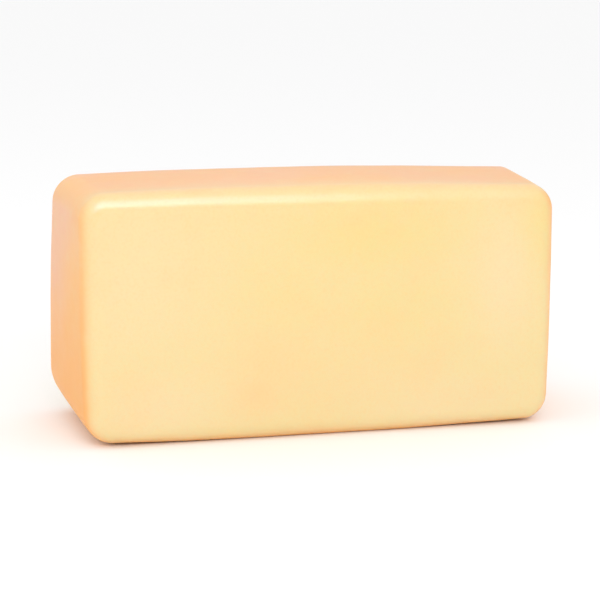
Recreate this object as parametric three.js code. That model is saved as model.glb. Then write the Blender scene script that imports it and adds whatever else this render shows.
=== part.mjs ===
// A loaf of cheese, pressed and ripened as one piece: a brick with soft round edges and faces that
// swell a little. Millimetres, +Z up. The block stands on a long narrow face, its broad front face
// towards -Y and its length along X. The origin is under the middle of the block, on the surface
// that it stands on.
import * as THREE from 'three';
import { mergeVertices } from 'three/addons/utils/BufferGeometryUtils.js';

// The brick, before its faces swell.
const LENGTH = 250; // along X
const DEPTH = 82; // along Y, from the broad front face to the broad back face
const HEIGHT = 124; // along Z

// Rounding. An end edge runs from front to back; a rim goes round a broad face.
const END_EDGE_RADIUS = 13;
const RIM_RADIUS = 8;
const TOP_RIGHT_BACK_RADIUS = 9; // the end edge at the top right tightens to this at the back
const FOOT_LEFT_BACK_RADIUS = 25; // the end edge at the bottom left opens to this at the back

// How far the middle of each face stands out.
const TOP_SWELL = 4;
const UNDERSIDE_SWELL = 3.5;
const LEFT_END_SWELL = 1.5;
const RIGHT_END_SWELL = 1;
const BROAD_FACE_SWELL = 1;

// The mould's draft makes the back face longer than the front face, and the block has a slight twist.
const END_DRAFT = 3.2; // how far each end moves out at the back face, and in at the front face
const TWIST = 1.4; // how far the back face leans towards +X at its top, and the front face away

// The underside settles flat, this far below the plain brick's own underside.
const FOOT_DROP = 1.8;

// Grid lines along each edge, and how many of them lie on the rounding at each end.
const LENGTH_STEPS = 20;
const DEPTH_STEPS = 12;
const HEIGHT_STEPS = 16;
const END_EDGE_STEPS = 4;
const RIM_STEPS = 3;

const RIND_COLOUR = 0xf6cf91;
const RIND_ROUGHNESS = 0.38;

const HALF = new THREE.Vector3(LENGTH, DEPTH, HEIGHT).multiplyScalar(0.5);

// Moves an evenly spaced grid line so that the rounding near each end is cut at equal angles.
function gridLine(even, half, radius, share) {
  const reach = Math.abs(even) / half;
  const flat = half - radius;
  const flatShare = 1 - share;
  if (reach <= flatShare) {
    return Math.sign(even) * flat * reach / flatShare;
  }
  const angle = (reach - flatShare) / share * Math.PI / 4;
  return Math.sign(even) * (flat + radius * Math.tan(angle));
}

// The end edge's radius near a point: two of the four edges change along their length.
function endEdgeRadius(x, y, z) {
  const towardsBack = (1 + y / HALF.y) / 2;
  if (x > 0 && z > 0) {
    return THREE.MathUtils.lerp(END_EDGE_RADIUS, TOP_RIGHT_BACK_RADIUS, towardsBack);
  }
  if (x < 0 && z < 0) {
    return THREE.MathUtils.lerp(END_EDGE_RADIUS, FOOT_LEFT_BACK_RADIUS, towardsBack);
  }
  return END_EDGE_RADIUS;
}

// Carries a point of the square brick onto the rounded one. Every rounded point lies one rim radius
// out from a spine: the brick shrunk by that radius, with its own end edges already rounded.
function roundOff(point) {
  const radius = endEdgeRadius(point.x, point.y, point.z);
  const coreX = THREE.MathUtils.clamp(point.x, radius - HALF.x, HALF.x - radius);
  const coreZ = THREE.MathUtils.clamp(point.z, radius - HALF.z, HALF.z - radius);
  const outward = new THREE.Vector2(point.x - coreX, point.z - coreZ);
  outward.clampLength(0, radius - RIM_RADIUS);
  const spineY = THREE.MathUtils.clamp(point.y, RIM_RADIUS - HALF.y, HALF.y - RIM_RADIUS);
  const spine = new THREE.Vector3(coreX + outward.x, spineY, coreZ + outward.y);
  return point.clone().sub(spine).setLength(RIM_RADIUS).add(spine);
}

// Swells the faces, leans the ends by the draft and the twist, and flattens the foot.
function ripen(point) {
  const at = point.clone().divide(HALF);
  const middleX = Math.max(0, 1 - at.x ** 2);
  const middleY = Math.max(0, 1 - at.y ** 2);
  const middleZ = Math.max(0, 1 - at.z ** 2);
  const upDown = at.z > 0 ? TOP_SWELL : UNDERSIDE_SWELL;
  const leftRight = at.x > 0 ? RIGHT_END_SWELL : LEFT_END_SWELL;
  const swollen = point.clone();
  swollen.x += leftRight * at.x * middleZ * Math.sqrt(middleY);
  swollen.y += BROAD_FACE_SWELL * at.y * middleX * middleZ;
  swollen.z += upDown * at.z * middleX * Math.sqrt(middleY);
  swollen.x += END_DRAFT * at.x * at.y + TWIST * at.z * at.y;
  swollen.z = Math.max(swollen.z, -HALF.z - FOOT_DROP);
  return swollen;
}

// The whole block as one closed surface, moved so that the origin is under the middle of its box.
function blockGeometry() {
  const box = new THREE.BoxGeometry(LENGTH, DEPTH, HEIGHT, LENGTH_STEPS, DEPTH_STEPS, HEIGHT_STEPS);
  box.deleteAttribute('normal');
  box.deleteAttribute('uv');
  const surface = mergeVertices(box);
  const corners = surface.getAttribute('position');
  for (let i = 0; i < corners.count; i += 1) {
    const onBrick = new THREE.Vector3(
      gridLine(corners.getX(i), HALF.x, END_EDGE_RADIUS, 2 * END_EDGE_STEPS / LENGTH_STEPS),
      gridLine(corners.getY(i), HALF.y, RIM_RADIUS, 2 * RIM_STEPS / DEPTH_STEPS),
      gridLine(corners.getZ(i), HALF.z, END_EDGE_RADIUS, 2 * END_EDGE_STEPS / HEIGHT_STEPS),
    );
    const ripened = ripen(roundOff(onBrick));
    corners.setXYZ(i, ripened.x, ripened.y, ripened.z);
  }
  surface.computeBoundingBox();
  const { min, max } = surface.boundingBox;
  surface.translate(-(min.x + max.x) / 2, -(min.y + max.y) / 2, -min.z);
  surface.computeVertexNormals();
  return surface;
}

const rind = new THREE.MeshStandardMaterial({
  color: RIND_COLOUR,
  roughness: RIND_ROUGHNESS,
  metalness: 0,
});

const block = new THREE.Mesh(blockGeometry(), rind);
block.name = 'cheese_block';

const cheese = new THREE.Group();
cheese.add(block);

export default cheese;
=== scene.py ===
"""The looks of a loaf of cheese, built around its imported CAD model. Blender 4.5, metres, +Z up.

The block is one fine mesh: the CAD model's rounded, slightly swollen brick, with the small unevenness
of a moulded cheese added. It has a waxy, faintly mottled rind, and stands on a pale studio floor.
"""

import math

import bpy
import numpy as np
from mathutils import Matrix, Vector, noise


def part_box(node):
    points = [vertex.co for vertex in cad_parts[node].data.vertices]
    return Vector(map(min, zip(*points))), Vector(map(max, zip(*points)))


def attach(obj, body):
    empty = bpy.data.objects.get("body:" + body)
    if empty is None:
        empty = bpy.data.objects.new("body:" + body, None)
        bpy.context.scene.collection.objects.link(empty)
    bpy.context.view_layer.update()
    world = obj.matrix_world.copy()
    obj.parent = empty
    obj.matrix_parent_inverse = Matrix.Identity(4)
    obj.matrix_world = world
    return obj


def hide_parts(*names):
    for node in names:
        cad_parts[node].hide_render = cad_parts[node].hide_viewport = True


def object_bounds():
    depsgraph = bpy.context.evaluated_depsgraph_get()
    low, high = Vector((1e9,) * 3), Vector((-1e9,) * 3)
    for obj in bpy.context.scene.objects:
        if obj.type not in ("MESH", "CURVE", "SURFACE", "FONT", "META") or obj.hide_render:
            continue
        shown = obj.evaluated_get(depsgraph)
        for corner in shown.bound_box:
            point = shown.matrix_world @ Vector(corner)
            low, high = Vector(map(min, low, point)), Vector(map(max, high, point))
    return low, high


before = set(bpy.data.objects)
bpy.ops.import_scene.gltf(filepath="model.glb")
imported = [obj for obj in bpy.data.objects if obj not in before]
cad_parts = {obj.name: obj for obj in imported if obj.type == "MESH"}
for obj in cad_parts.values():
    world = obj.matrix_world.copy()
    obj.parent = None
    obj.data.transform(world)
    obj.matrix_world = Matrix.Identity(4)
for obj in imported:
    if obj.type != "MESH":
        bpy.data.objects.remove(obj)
cad_low, cad_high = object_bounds()

NODE = "cheese_block"
MM = 0.001

# The brick before its faces swell, in metres: the same driving dimensions as the CAD model.
LENGTH = 250 * MM
DEPTH = 82 * MM
HEIGHT = 124 * MM
END_EDGE_RADIUS = 13 * MM
RIM_RADIUS = 8 * MM
TOP_RIGHT_BACK_RADIUS = 9 * MM
FOOT_LEFT_BACK_RADIUS = 25 * MM
TOP_SWELL = 4 * MM
UNDERSIDE_SWELL = 3.5 * MM
LEFT_END_SWELL = 1.5 * MM
RIGHT_END_SWELL = 1 * MM
BROAD_FACE_SWELL = 1 * MM
END_DRAFT = 3.2 * MM
TWIST = 1.4 * MM
FOOT_DROP = 1.8 * MM
HALF = np.array([LENGTH, DEPTH, HEIGHT]) / 2

# Grid lines of the fine mesh along each edge, and the share of them that lies on the roundings.
STEPS = (196, 64, 104)
ROUNDED_SHARE = (0.24, 0.44, 0.36)


# ---------------------------------------------------------------- the block's form


def grid_lines(axis, radius):
    """Places of the grid lines along one axis of the brick, cut at equal angles over the roundings."""
    even = np.linspace(-1, 1, STEPS[axis] + 1)
    reach = np.abs(even)
    share = ROUNDED_SHARE[axis]
    flat = HALF[axis] - radius
    angle = np.clip((reach - (1 - share)) / share, 0, 1) * math.pi / 4
    place = np.where(reach <= 1 - share, flat * reach / (1 - share), flat + radius * np.tan(angle))
    return np.sign(even) * place


def brick():
    """Points and outward quads of the square brick's surface, with shared edges and corners."""
    lines = (
        grid_lines(0, END_EDGE_RADIUS),
        grid_lines(1, RIM_RADIUS),
        grid_lines(2, END_EDGE_RADIUS),
    )
    number = {}
    points = []
    quads = []

    def corner(i, j, k):
        key = (i, j, k)
        if key not in number:
            number[key] = len(points)
            points.append((lines[0][i], lines[1][j], lines[2][k]))
        return number[key]

    for axis in range(3):
        across, up = (axis + 1) % 3, (axis + 2) % 3
        for end in (0, STEPS[axis]):
            for a in range(STEPS[across]):
                for b in range(STEPS[up]):
                    loop = []
                    for da, db in ((0, 0), (1, 0), (1, 1), (0, 1)):
                        place = [0, 0, 0]
                        place[axis], place[across], place[up] = end, a + da, b + db
                        loop.append(corner(*place))
                    quads.append(loop if end else loop[::-1])
    return np.array(points), quads


def end_edge_radius(points):
    """The end edge's radius near each point: two of the four edges change from front to back."""
    towards_back = (1 + points[:, 1] / HALF[1]) / 2
    top_right = (points[:, 0] > 0) & (points[:, 2] > 0)
    foot_left = (points[:, 0] < 0) & (points[:, 2] < 0)
    radius = np.full(len(points), END_EDGE_RADIUS)
    tighter = END_EDGE_RADIUS + (TOP_RIGHT_BACK_RADIUS - END_EDGE_RADIUS) * towards_back
    softer = END_EDGE_RADIUS + (FOOT_LEFT_BACK_RADIUS - END_EDGE_RADIUS) * towards_back
    radius = np.where(top_right, tighter, radius)
    return np.where(foot_left, softer, radius)


def round_off(points):
    """Carries the square brick's points onto the rounded one, and gives their outward directions."""
    radius = end_edge_radius(points)
    limit = HALF[[0, 2]] - radius[:, None]
    core = np.clip(points[:, [0, 2]], -limit, limit)
    outward = points[:, [0, 2]] - core
    reach = np.linalg.norm(outward, axis=1)
    kept = np.minimum(reach, radius - RIM_RADIUS) / np.maximum(reach, 1e-9)
    spine = np.empty_like(points)
    spine[:, [0, 2]] = core + outward * kept[:, None]
    spine[:, 1] = np.clip(points[:, 1], RIM_RADIUS - HALF[1], HALF[1] - RIM_RADIUS)
    direction = points - spine
    direction /= np.linalg.norm(direction, axis=1)[:, None]
    return spine + RIM_RADIUS * direction, direction


def ripen(points):
    """Swells the faces and leans the ends by the mould's draft and the block's twist."""
    at = points / HALF
    middle = np.clip(1 - at**2, 0, None)
    up_down = np.where(at[:, 2] > 0, TOP_SWELL, UNDERSIDE_SWELL)
    left_right = np.where(at[:, 0] > 0, RIGHT_END_SWELL, LEFT_END_SWELL)
    swollen = points.copy()
    swollen[:, 0] += left_right * at[:, 0] * middle[:, 2] * np.sqrt(middle[:, 1])
    swollen[:, 1] += BROAD_FACE_SWELL * at[:, 1] * middle[:, 0] * middle[:, 2]
    swollen[:, 2] += up_down * at[:, 2] * middle[:, 0] * np.sqrt(middle[:, 1])
    swollen[:, 0] += END_DRAFT * at[:, 0] * at[:, 1] + TWIST * at[:, 2] * at[:, 1]
    return swollen


# Natural unevenness: (width of the swellings, height, seed place) of each layer of noise.
UNEVEN_LAYERS = (
    (62 * MM, 0.34 * MM, 3.1),
    (24 * MM, 0.12 * MM, 11.7),
    (8 * MM, 0.022 * MM, 27.3),
)


def unevenness(points):
    """How far each point stands out from the smooth form: broad low swellings and finer ripples."""
    height = np.zeros(len(points))
    for width, tall, seed in UNEVEN_LAYERS:
        away = Vector((seed, -seed, 2 * seed))
        height += [tall * noise.noise(Vector(p) / width + away) for p in points]
    return height


def smooth_share(low, high, value):
    """0 below low, 1 above high, and a smooth step between them."""
    t = np.clip((value - low) / (high - low), 0, 1)
    return t * t * (3 - 2 * t)


# ---------------------------------------------------------------- where each tone lies

# Soft clouds of colour on the broad front face: x and z of the middle, half width, half height (all in
# metres, from the middle of the foot) and strength.
CLOUDS = {
    "warm": (
        (-38 * MM, 24 * MM, 13 * MM, 11 * MM, 0.75),
        (-30 * MM, 38 * MM, 24 * MM, 20 * MM, 0.45),
        (14 * MM, 32 * MM, 40 * MM, 20 * MM, 0.22),
    ),
    "yellow": (
        (22 * MM, 104 * MM, 44 * MM, 22 * MM, 0.75),
        (34 * MM, 68 * MM, 40 * MM, 24 * MM, 0.42),
        (-20 * MM, 76 * MM, 30 * MM, 30 * MM, 0.35),
        (114 * MM, 105 * MM, 14 * MM, 22 * MM, 0.85),
    ),
    "pale": (
        (94 * MM, 80 * MM, 17 * MM, 36 * MM, 0.80),
        (-96 * MM, 84 * MM, 34 * MM, 44 * MM, 0.50),
        (-84 * MM, 20 * MM, 32 * MM, 18 * MM, 0.75),
        (64 * MM, 12 * MM, 46 * MM, 18 * MM, 0.60),
    ),
}

# On top, the broad face's butter yellow starts this far behind the front and fades over this length.
YELLOW_MARGIN = 2 * MM
YELLOW_FADE = 9 * MM

# The shares of a surface's outward direction at which it starts to face one way, and fully does.
FACING = (0.3, 0.9)

# The most that the rose reaches on the ends, and the least of the painted sheen on top.
END_ROSE = 0.8
TOP_PAINTED_SHEEN = 0.5

SHOULDER_STRENGTH = 0.8
LOWER_RIM_PAINTED_BOUNCE_AND_SHADE = 0.25
RIGHT_RIM_PAINTED_BOUNCE = 0.6


def cloud_strength(points, direction, clouds):
    """How strongly a family of clouds colours each point. They lie on the front face alone."""
    strength = np.zeros(len(points))
    for x, z, half_width, half_height, peak in clouds:
        away = ((points[:, 0] - x) / half_width) ** 2 + ((points[:, 2] - z) / half_height) ** 2
        strength = np.maximum(strength, peak * np.exp(-away))
    return strength * smooth_share(*FACING, -direction[:, 1])


def tones_of(points, direction):
    """How strongly each tone colours each point, by the tone's name: tones of the rind, and painted light.
    """
    broad = np.abs(direction[:, 1])  # 1 on the front and back faces, 0 on the four narrow ones
    outwards = direction[:, [0, 2]]
    outwards = outwards / np.maximum(np.linalg.norm(outwards, axis=1), 0.01)[:, None]
    rightwards, upwards = outwards[:, 0], outwards[:, 1]
    facing_up = smooth_share(*FACING, upwards)
    facing_down = smooth_share(*FACING, -upwards)
    facing_right = smooth_share(*FACING, rightwards)
    towards_back = points[:, 1] / HALF[1]
    height = points[:, 2] / cad_high.z

    # The narrow faces' peach runs up to the rims. On top it gives way to yellow before the front rim.
    # The peach is partly the rind's own tone and partly painted shade, for the lesser light that the narrow
    # faces get than the front.
    end_narrow = 1 - smooth_share(0.3, 1.0, broad)
    from_front = np.maximum(HALF[1] + points[:, 1] - YELLOW_MARGIN, 0)
    top_narrow = np.minimum(1 - np.exp(-from_front / YELLOW_FADE), end_narrow)

    # The peach turns rose towards the back, and on the ends towards the top; on top the rose is painted
    # sheen.
    end_rose = END_ROSE * smooth_share(-0.75, 0.75, towards_back + 1.2 * (height - 0.5))
    top_painted_sheen = TOP_PAINTED_SHEEN + (1 - TOP_PAINTED_SHEEN) * smooth_share(0.4, 1.0, towards_back)

    # Painted light: amber is warm bounce light painted low on the ends, and faintly along the right rim,
    # with painted shade too along the lower rim.
    low_painted_bounce = (1 - smooth_share(0.1, 0.85, height)) * (1 - smooth_share(0.1, 0.7, broad))
    on_rim = smooth_share(0, 0.3, broad) * (1 - smooth_share(0.45, 0.98, broad))
    rim = (LOWER_RIM_PAINTED_BOUNCE_AND_SHADE * facing_down + RIGHT_RIM_PAINTED_BOUNCE * facing_right) * on_rim

    tones = {
        # Partly painted shade on the narrow faces.
        "narrow": end_narrow + (top_narrow - end_narrow) * facing_up,
        "shoulder": SHOULDER_STRENGTH * np.clip(2 * np.abs(rightwards) * upwards, 0, 1),
        "rose_and_painted_sheen": end_rose + (top_painted_sheen - end_rose) * facing_up,
        # Painted light on the back faces, which lie in shade.
        "back": smooth_share(*FACING, direction[:, 1]),
        "painted_bounce_and_shade": np.maximum(rim, low_painted_bounce * (1 - facing_up)),
    }
    for name, clouds in CLOUDS.items():
        tones[name] = cloud_strength(points, direction, clouds)
    return tones


# ---------------------------------------------------------------- the mesh


def add_block():
    """The whole block as one closed mesh, in the CAD frame."""
    points, quads = brick()
    rounded, direction = round_off(points)
    form = ripen(rounded)
    low, high = (np.array(corner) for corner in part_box(NODE))
    shift = (low + high - form.min(axis=0) - form.max(axis=0)) / 2
    shift[2] = low[2] + HALF[2] + FOOT_DROP
    uneven = form + direction * unevenness(form)[:, None] + shift
    uneven[:, 2] = np.maximum(uneven[:, 2], low[2])

    mesh = bpy.data.meshes.new("cheese")
    mesh.from_pydata(uneven.tolist(), [], quads)
    mesh.polygons.foreach_set("use_smooth", [True] * len(quads))
    for name, values in tones_of(uneven, direction).items():
        mesh.attributes.new(name, "FLOAT", "POINT").data.foreach_set("value", values)
    block = bpy.data.objects.new("cheese", mesh)
    bpy.context.scene.collection.objects.link(block)
    return block


# ---------------------------------------------------------------- materials


class Nodes:
    """Short calls for building one material's node tree."""

    def __init__(self, tree):
        self.tree = tree

    def add(self, kind, **settings):
        node = self.tree.nodes.new(kind)
        for name, value in settings.items():
            setattr(node, name, value)
        return node

    def link(self, source, target):
        self.tree.links.new(source, target)

    def noise(self, place, scale, detail=2.0, roughness=0.5, shift=0.0):
        """Noise from about 0.3 to 0.7, in object space, with scale features in a metre."""
        moved = self.add("ShaderNodeVectorMath", operation="ADD")
        moved.inputs[1].default_value = (shift, shift, shift)
        self.link(place, moved.inputs[0])
        texture = self.add("ShaderNodeTexNoise")
        texture.inputs["Scale"].default_value = scale
        texture.inputs["Detail"].default_value = detail
        texture.inputs["Roughness"].default_value = roughness
        self.link(moved.outputs[0], texture.inputs["Vector"])
        return texture.outputs["Fac"]

    def span(self, value, low, high, to_low=0.0, to_high=1.0):
        """Maps low..high smoothly onto to_low..to_high."""
        node = self.add("ShaderNodeMapRange", interpolation_type="SMOOTHSTEP")
        for name, number in zip(("From Min", "From Max", "To Min", "To Max"), (low, high, to_low, to_high)):
            node.inputs[name].default_value = number
        self.link(value, node.inputs["Value"])
        return node.outputs["Result"]

    def maths(self, operation, a, b):
        """Joins two values by one operation."""
        node = self.add("ShaderNodeMath", operation=operation)
        self.link(a, node.inputs[0])
        self.link(b, node.inputs[1])
        return node.outputs[0]

    def blend(self, share, a, b):
        """Mixes two colours, each a socket or an (r, g, b)."""
        node = self.add("ShaderNodeMix", data_type="RGBA")
        self.link(share, node.inputs[0])
        for socket, colour in ((node.inputs[6], a), (node.inputs[7], b)):
            if isinstance(colour, tuple):
                socket.default_value = (*colour, 1)
            else:
                self.link(colour, socket)
        return node.outputs[2]


# Colours of the rind, as linear red, green and blue: the front face and its clouds, then painted light on
# the back face.
BUTTER = (0.825, 0.655, 0.322)
YELLOW = (0.820, 0.638, 0.252)
WARM = (0.875, 0.592, 0.285)
PALE = (0.845, 0.672, 0.380)
# Painted light: a lighter, warmer back lifts the shade that the back faces lie in.
BACK_PAINTED_LIGHT = (0.955, 0.715, 0.355)

# The narrow faces and their shoulders, partly painted shade and sheen, and the deepest orange: the grain's
# colour, and painted warm bounce and shade.
PEACH_AND_PAINTED_SHADE = (0.930, 0.510, 0.190)
ROSE_AND_PAINTED_SHEEN = (0.880, 0.503, 0.350)
APRICOT = (0.960, 0.560, 0.260)
AMBER_GRAIN_AND_PAINTED_BOUNCE = (0.930, 0.430, 0.110)

# How far light scatters under the surface in each colour, as shares of the longest reach.
SCATTER_SHARES = (1.0, 0.55, 0.22)
SCATTER_REACH = 4 * MM
SCATTER_WEIGHT = 0.25

BUMP_STRENGTH = 0.12
RIPPLE_DEPTH = 0.6 * MM
PORE_DEPTH = 0.15 * MM


def rind_colour(n, place, tone):
    """Butter yellow on the broad faces and peach on the narrow ones, with soft mottling, a grain and
    painted light.
    """
    drift = n.noise(place, 16, detail=1.5, shift=2.0)
    patches = n.noise(place, 38, detail=3.0, roughness=0.55, shift=7.0)
    flecks = n.noise(place, 150, detail=2.0, roughness=0.5, shift=12.0)
    grain = n.noise(place, 600, detail=2.0, roughness=0.6, shift=15.0)

    base = n.blend(tone("yellow"), BUTTER, YELLOW)
    base = n.blend(tone("warm"), base, WARM)
    base = n.blend(tone("pale"), base, PALE)
    # Painted light: the back faces are lightened, as they lie in shade.
    base = n.blend(tone("back"), base, BACK_PAINTED_LIGHT)
    # The narrow faces' colour is partly painted light: shade on the narrow faces, sheen on the top.
    side = n.blend(n.maths("ADD", tone("rose_and_painted_sheen"), n.span(drift, 0.35, 0.65, -0.12, 0.12)), PEACH_AND_PAINTED_SHADE, ROSE_AND_PAINTED_SHEEN)
    side = n.blend(tone("shoulder"), side, APRICOT)
    base = n.blend(n.maths("ADD", tone("narrow"), n.span(patches, 0.3, 0.7, -0.05, 0.05)), base, side)
    base = n.blend(n.span(patches, 0.48, 0.75, 0.0, 0.15), base, WARM)
    base = n.blend(n.span(flecks, 0.45, 0.80, 0.0, 0.14), base, PALE)
    # Painted light: warm bounce and shade laid on in amber, broken up by the patches.
    base = n.blend(n.maths("MULTIPLY", tone("painted_bounce_and_shade"), n.span(patches, 0.3, 0.7, 0.75, 1.0)), base, AMBER_GRAIN_AND_PAINTED_BOUNCE)
    return n.blend(n.span(grain, 0.40, 0.80, 0.0, 0.10), base, AMBER_GRAIN_AND_PAINTED_BOUNCE)


def rind_relief(n, place):
    """The finest relief, too small for the mesh: a soft ripple about 5 mm across and pores under 1 mm."""
    normal = None
    ripple = n.noise(place, 190, detail=3.0, roughness=0.55, shift=31.0)
    pores = n.noise(place, 1300, detail=2.0, roughness=0.6, shift=43.0)
    for height, depth in ((ripple, RIPPLE_DEPTH), (pores, PORE_DEPTH)):
        bump = n.add("ShaderNodeBump")
        bump.inputs["Strength"].default_value = BUMP_STRENGTH
        bump.inputs["Distance"].default_value = depth
        n.link(height, bump.inputs["Height"])
        if normal is not None:
            n.link(normal, bump.inputs["Normal"])
        normal = bump.outputs["Normal"]
    return normal


def cheese_material():
    """A waxy rind with light scattering under it, duller on the narrow faces."""
    material = bpy.data.materials.new("cheese_rind")
    material.use_nodes = True
    tree = material.node_tree
    tree.nodes.clear()
    n = Nodes(tree)
    place = n.add("ShaderNodeTexCoord").outputs["Object"]

    def tone(name):
        return n.add("ShaderNodeAttribute", attribute_name=name).outputs["Fac"]

    waxy = n.span(n.noise(place, 60, detail=3.0, roughness=0.6, shift=20.0), 0.3, 0.7, 0.285, 0.33)
    duller = n.span(tone("narrow"), 0.3, 1.0, 0.0, 0.2)
    shader = n.add("ShaderNodeBsdfPrincipled")
    n.link(rind_colour(n, place, tone), shader.inputs["Base Color"])
    n.link(n.maths("ADD", waxy, duller), shader.inputs["Roughness"])
    n.link(rind_relief(n, place), shader.inputs["Normal"])
    shader.inputs["Subsurface Weight"].default_value = SCATTER_WEIGHT
    shader.inputs["Subsurface Radius"].default_value = SCATTER_SHARES
    shader.inputs["Subsurface Scale"].default_value = SCATTER_REACH

    output = n.add("ShaderNodeOutputMaterial")
    n.link(shader.outputs["BSDF"], output.inputs["Surface"])
    return material


FLOOR_GREY = 0.97


def floor_material():
    """Plain, pale and matt."""
    material = bpy.data.materials.new("studio_floor")
    material.use_nodes = True
    shader = material.node_tree.nodes["Principled BSDF"]
    shader.inputs["Base Color"].default_value = (FLOOR_GREY, FLOOR_GREY, FLOOR_GREY, 1)
    shader.inputs["Roughness"].default_value = 0.9
    shader.inputs["Specular IOR Level"].default_value = 0.1
    return material


# ---------------------------------------------------------------- studio

CAMERA_AZIMUTH = math.radians(15.8)  # from straight in front, towards the left end
CAMERA_ELEVATION = math.radians(12.1)
CAMERA_ROLL = math.radians(1.1)
CAMERA_DISTANCE = 0.901
CAMERA_SIDE = -2.8 * MM  # how far the view's axis passes from the middle of the block
CAMERA_RISE = -2.4 * MM
LENS = 103.5  # millimetres, as Blender takes it
SENSOR = 36.0

FLOOR_RADIUS = 14
HORIZON_LIGHT = 0.58
OVERHEAD_LIGHT = 1.08

WHITE = (1.0, 1.0, 1.0)
COOL = (0.70, 0.65, 1.0)

# Each softbox: name, place, what it faces, width and height, brightness, colour, and whether it shows
# only in reflections. The shine is cool, so that it looks nearly white on the yellow rind.
SOFTBOXES = (
    ("key", (-0.06, -1.07, 0.75), (0, 0, 0.09), (0.9, 0.3), 4.6, WHITE, False),
    ("left_fill", (-1.3, -0.35, 0.7), (0, 0, 0.06), (0.8, 0.8), 0.6, WHITE, False),
    ("shine", (-0.24, -0.88, 1.05), (-0.05, -0.04, 0.12), (1.2, 0.8), 6.6, COOL, True),
)


def add_camera():
    """Looks at the block from in front and a little to its left, slightly from above."""
    middle = (cad_low + cad_high) / 2
    ahead = Vector((
        math.sin(CAMERA_AZIMUTH) * math.cos(CAMERA_ELEVATION),
        math.cos(CAMERA_AZIMUTH) * math.cos(CAMERA_ELEVATION),
        -math.sin(CAMERA_ELEVATION),
    ))
    level = Vector((math.cos(CAMERA_AZIMUTH), -math.sin(CAMERA_AZIMUTH), 0))
    upright = level.cross(ahead)
    right = math.cos(CAMERA_ROLL) * level + math.sin(CAMERA_ROLL) * upright
    up = math.cos(CAMERA_ROLL) * upright - math.sin(CAMERA_ROLL) * level
    data = bpy.data.cameras.new("camera")
    data.lens = LENS
    data.sensor_width = SENSOR
    camera = bpy.data.objects.new("camera", data)
    bpy.context.scene.collection.objects.link(camera)
    turn = Matrix((right, up, -ahead)).transposed().to_4x4()
    place = middle - ahead * CAMERA_DISTANCE + right * CAMERA_SIDE + up * CAMERA_RISE
    camera.matrix_world = Matrix.Translation(place) @ turn
    bpy.context.scene.camera = camera


def add_softbox(name, place, aim, size, radiance, tint, only_in_reflections):
    """A rectangular soft light. Its radiance doesn't change with its size."""
    light = bpy.data.lights.new(name, "AREA")
    light.shape = "RECTANGLE"
    light.size, light.size_y = size
    light.energy = radiance * math.pi * size[0] * size[1]
    light.color = tint
    lamp = bpy.data.objects.new(name, light)
    lamp.visible_diffuse = not only_in_reflections
    lamp.location = place
    lamp.rotation_euler = (Vector(aim) - Vector(place)).to_track_quat("-Z", "Y").to_euler()
    bpy.context.scene.collection.objects.link(lamp)


def add_floor():
    """A wide round floor at the height of the block's foot."""
    bpy.ops.mesh.primitive_circle_add(
        vertices=96, radius=FLOOR_RADIUS, fill_type="NGON", location=(0, 0, 0)
    )
    floor = bpy.context.object
    floor.name = "studio_floor"
    floor.data.materials.append(floor_material())


def add_world():
    """White light from all round, brighter from above."""
    world = bpy.data.worlds.new("studio")
    world.use_nodes = True
    n = Nodes(world.node_tree)
    direction = n.add("ShaderNodeTexCoord").outputs["Generated"]
    parts = n.add("ShaderNodeSeparateXYZ")
    n.link(direction, parts.inputs[0])
    background = world.node_tree.nodes["Background"]
    background.inputs["Color"].default_value = (*WHITE, 1)
    strength = n.span(parts.outputs["Z"], 0.0, 0.8, HORIZON_LIGHT, OVERHEAD_LIGHT)
    n.link(strength, background.inputs["Strength"])
    bpy.context.scene.world = world


bpy.context.scene.view_settings.view_transform = "Standard"
add_camera()
add_floor()
add_world()
for softbox in SOFTBOXES:
    add_softbox(*softbox)

cheese = add_block()
cheese.data.materials.append(cheese_material())
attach(cheese, "root")
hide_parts(NODE)
